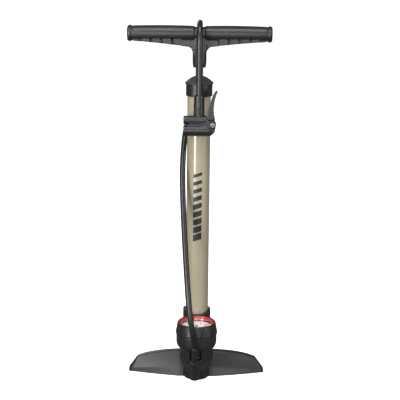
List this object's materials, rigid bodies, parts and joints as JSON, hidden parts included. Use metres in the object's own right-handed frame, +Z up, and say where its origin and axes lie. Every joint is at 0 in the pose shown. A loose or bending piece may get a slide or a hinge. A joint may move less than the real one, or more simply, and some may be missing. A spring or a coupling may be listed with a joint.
{
  "type": "floor bike pump",
  "caption": "Upright floor pump for bicycle tyres: winged foot with pressure gauge, tall barrel, T handle on a sliding rod, and a hose with a lever-lock head stowed over the handle.",
  "frame": {"origin": "on the floor, under the barrel's axis", "axes": "+Z up the barrel, X along the handle and the foot's wings, -Y towards the gauge and the hose head"},
  "size_m": [0.244, 0.1475, 0.6234],
  "materials": {
    "moulded_nylon": "moulded, fine satin grain",
    "cap_polymer": "matt, slightly brown black",
    "barrel_paint": "gloss champagne paint",
    "acetal": "smooth natural acetal",
    "rod_steel": "ground and plated",
    "zinc_steel": "zinc plated",
    "seal_rubber": "smooth nitrile rubber",
    "hose_rubber": "smooth, slightly glossy",
    "brass": "turned brass",
    "marker_red": "gloss red",
    "dial_card": "white printed card",
    "needle_paint": "black paint",
    "clear_window": "clear polished acrylic"
  },
  "bodies": {
    "root": {"gauge_pedestal": "moulded_nylon", "barrel_tower": "moulded_nylon", "left_wing": "moulded_nylon", "right_wing": "moulded_nylon", "barrel": "barrel_paint", "barrel_plug": "acetal", "plug_seal": "seal_rubber", "barrel_screws": "zinc_steel", "check_valve_seat": "brass", "barrel_collar": "moulded_nylon", "rod_guide": "acetal", "rod_wiper": "seal_rubber", "cap_dome": "cap_polymer", "gauge_lens": "clear_window", "gauge_dial": "dial_card", "movement_plates": "brass", "bourdon_tube": "brass", "gauge_socket": "brass", "gauge_seal": "seal_rubber", "head_body": "moulded_nylon", "wide_port_cap": "moulded_nylon", "slim_port_cap": "moulded_nylon", "wide_grommet": "seal_rubber", "slim_grommet": "seal_rubber", "lever_pin": "zinc_steel", "head_clip": "moulded_nylon", "hose_nut": "moulded_nylon", "hose_ferrule": "moulded_nylon", "head_barb": "brass", "hose_end_collar": "moulded_nylon", "hose_barb": "brass", "hose_riser": "hose_rubber", "hose_drop": "hose_rubber"},
    "piston": {"piston_head": "acetal", "piston_seal": "seal_rubber", "piston_bumper": "seal_rubber", "hose_loop": "hose_rubber"},
    "handle": {"handle_grip": "moulded_nylon", "handle_screw": "zinc_steel", "piston_rod": "rod_steel", "piston_nut": "zinc_steel"},
    "lever": {"head_lever": "moulded_nylon"},
    "plunger": {"clamp_plunger": "acetal", "valve_depressor": "zinc_steel"},
    "bezel": {"gauge_bezel": "moulded_nylon", "target_ring": "marker_red"},
    "needle": {"gauge_needle": "needle_paint", "needle_pinion": "brass"},
    "sector": {"sector_gear": "brass"},
    "valve": {"check_valve_disc": "seal_rubber", "check_valve_spring": "zinc_steel"}
  },
  "joints": [
    {"name": "handle_pull", "type": "slide", "parent": "root", "child": "piston", "axis": [0, 0, 1], "range_m": [0, 0.4]},
    {"name": "handle_turn", "type": "hinge", "parent": "piston", "child": "handle", "pos_m": [0, 0, 0.078], "axis": [0, 0, 1], "range_deg": [-45, 45]},
    {"name": "lever_flip", "type": "hinge", "parent": "root", "child": "lever", "pos_m": [0.023, -0.032, 0.451], "axis": [0, 1, 0], "range_deg": [0, 90]},
    {"name": "plunger_push", "type": "slide", "parent": "root", "child": "plunger", "axis": [-1, 0, 0], "range_m": [0, 0.0016]},
    {"name": "bezel_turn", "type": "hinge", "parent": "root", "child": "bezel", "pos_m": [0, -0.06, 0.1], "axis": [0, 0, 1], "continuous": true},
    {"name": "sector_swing", "type": "hinge", "parent": "root", "child": "sector", "pos_m": [0.014, -0.06, 0.0866], "axis": [0, 0, 1], "range_deg": [0, 45], "stiffness_Nm_per_rad": 0.0004},
    {"name": "needle_swing", "type": "hinge", "parent": "root", "child": "needle", "pos_m": [0, -0.06, 0.0866], "axis": [0, 0, 1], "range_deg": [-270, 0]},
    {"name": "valve_lift", "type": "slide", "parent": "root", "child": "valve", "axis": [0, 0, -1], "range_m": [0, 0.0015], "stiffness_N_per_m": 120, "springref_m": -0.002, "deforming": ["check_valve_spring"]}
  ],
  "couplings": [
    {"joint": "plunger_push", "follows": "lever_flip", "m_per_rad": 0.0010186},
    {"joint": "needle_swing", "follows": "sector_swing", "ratio": -6}
  ]
}
